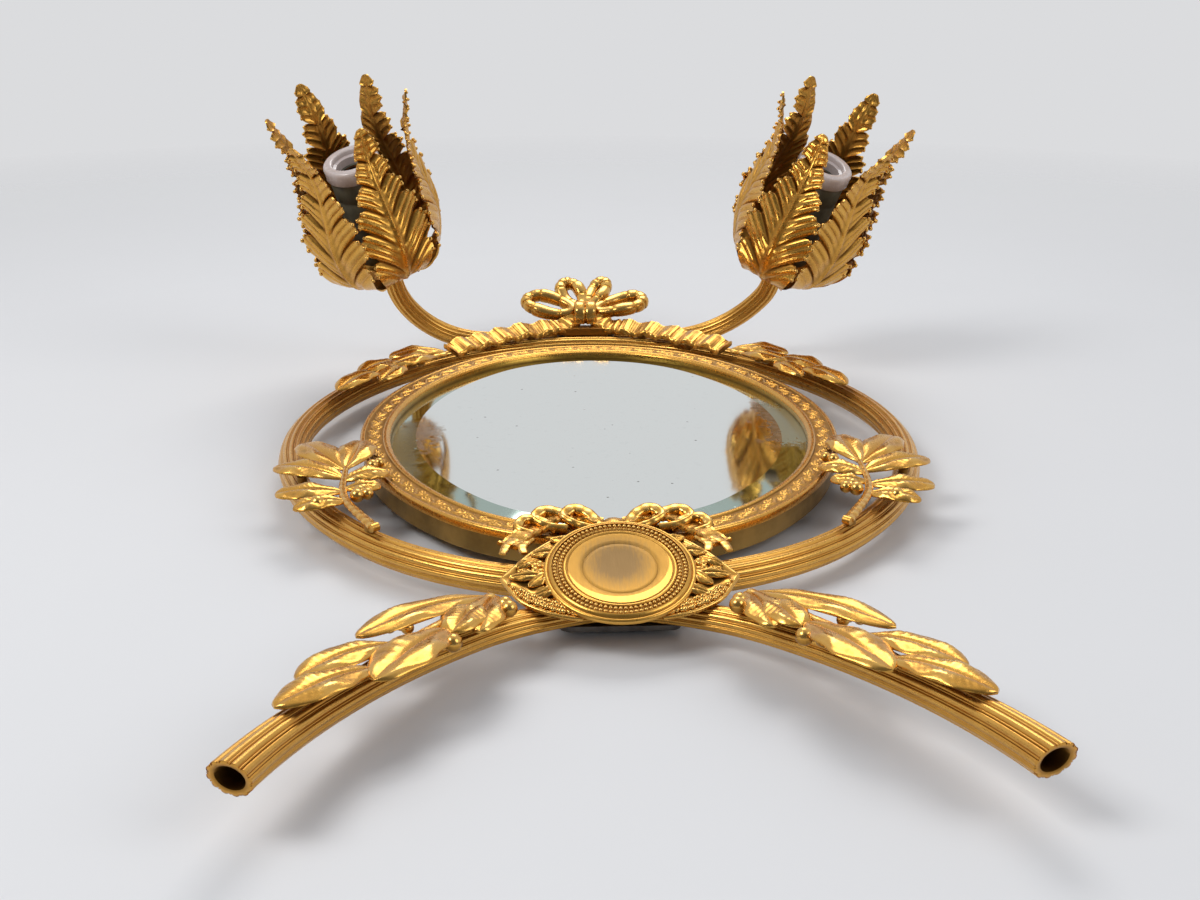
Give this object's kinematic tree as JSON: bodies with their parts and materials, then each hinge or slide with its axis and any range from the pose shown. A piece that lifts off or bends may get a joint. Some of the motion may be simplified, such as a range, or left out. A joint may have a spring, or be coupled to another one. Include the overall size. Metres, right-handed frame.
{
  "type": "girandole mirror",
  "caption": "Oval bevelled mirror in a chased gilt frame inside a reeded oval ring, with two flared legs, a medallion, a ribbon bow and two curved light arms with tulip-shaped leaf shades.",
  "frame": {"origin": "middle of the backing board's back face, behind the mirror's centre", "axes": "+Z out of the mirror's face, +Y up the mirror to the bow, +X to the right of someone who looks at the mirror"},
  "size_m": [0.3483, 0.5337, 0.1723],
  "materials": {
    "gilt_bronze": "cast and chased bronze, gilt, with brown patina in the hollows",
    "band_brass": "dull lacquered sheet brass",
    "mirror": "silvered glass with a ground bevel and old tarnish",
    "board": "stained softwood board",
    "steel": "darkened steel",
    "porcelain": "glazed porcelain",
    "holder_paint": "dull grey-green paint",
    "shell_brass": "browned brass with a rolled thread"
  },
  "bodies": {
    "mirror": {"backing_board": "board", "clamp_nuts": "steel", "clamp_studs": "steel", "frame_back_flange": "band_brass", "frame_rim": "gilt_bronze", "frame_side_band": "band_brass", "left_arm_tube": "gilt_bronze", "left_centre_contact": "shell_brass", "left_lampholder": "holder_paint", "left_leg_spray": "gilt_bronze", "left_leg_tube": "gilt_bronze", "left_petal_1": "gilt_bronze", "left_petal_2": "gilt_bronze", "left_petal_3": "gilt_bronze", "left_petal_4": "gilt_bronze", "left_petal_5": "gilt_bronze", "left_petal_6": "gilt_bronze", "left_petal_dish": "gilt_bronze", "left_porcelain_ring": "porcelain", "left_ribbon_tail": "gilt_bronze", "left_ring_tube": "gilt_bronze", "left_screw_shell": "shell_brass", "left_side_spray": "gilt_bronze", "left_top_spray": "gilt_bronze", "low_clamp": "steel", "medallion_disc": "gilt_bronze", "medallion_saddle": "gilt_bronze", "medallion_wings": "gilt_bronze", "mirror_glass": "mirror", "ribbon_bow": "gilt_bronze", "ribbon_crest": "gilt_bronze", "right_arm_tube": "gilt_bronze", "right_centre_contact": "shell_brass", "right_lampholder": "holder_paint", "right_leg_spray": "gilt_bronze", "right_leg_tube": "gilt_bronze", "right_petal_1": "gilt_bronze", "right_petal_2": "gilt_bronze", "right_petal_3": "gilt_bronze", "right_petal_4": "gilt_bronze", "right_petal_5": "gilt_bronze", "right_petal_6": "gilt_bronze", "right_petal_dish": "gilt_bronze", "right_porcelain_ring": "porcelain", "right_ribbon_tail": "gilt_bronze", "right_ring_tube": "gilt_bronze", "right_screw_shell": "shell_brass", "right_side_spray": "gilt_bronze", "right_top_spray": "gilt_bronze", "top_clamp": "steel", "turn_button_screws": "steel"},
    "hanging_bail": {"hanging_bail": "steel"},
    "turn_button_1": {"turn_button_1": "band_brass"},
    "turn_button_2": {"turn_button_2": "band_brass"},
    "turn_button_3": {"turn_button_3": "band_brass"},
    "turn_button_4": {"turn_button_4": "band_brass"}
  },
  "joints": [
    {"name": "bail_hinge", "type": "hinge", "parent": "mirror", "child": "hanging_bail", "pos_m": [0, 0.1941, -0.001], "axis": [1, 0, 0], "range_deg": [-10, 90]},
    {"name": "turn_button_1_pivot", "type": "hinge", "parent": "mirror", "child": "turn_button_1", "pos_m": [0.07766, -0.08908, 0.00125], "axis": [0, 0, 1], "range_deg": [-90, 90]},
    {"name": "turn_button_2_pivot", "type": "hinge", "parent": "mirror", "child": "turn_button_2", "pos_m": [0.07766, 0.08908, 0.00125], "axis": [0, 0, 1], "range_deg": [-90, 90]},
    {"name": "turn_button_3_pivot", "type": "hinge", "parent": "mirror", "child": "turn_button_3", "pos_m": [-0.07766, 0.08908, 0.00125], "axis": [0, 0, 1], "range_deg": [-90, 90]},
    {"name": "turn_button_4_pivot", "type": "hinge", "parent": "mirror", "child": "turn_button_4", "pos_m": [-0.07766, -0.08908, 0.00125], "axis": [0, 0, 1], "range_deg": [-90, 90]}
  ]
}
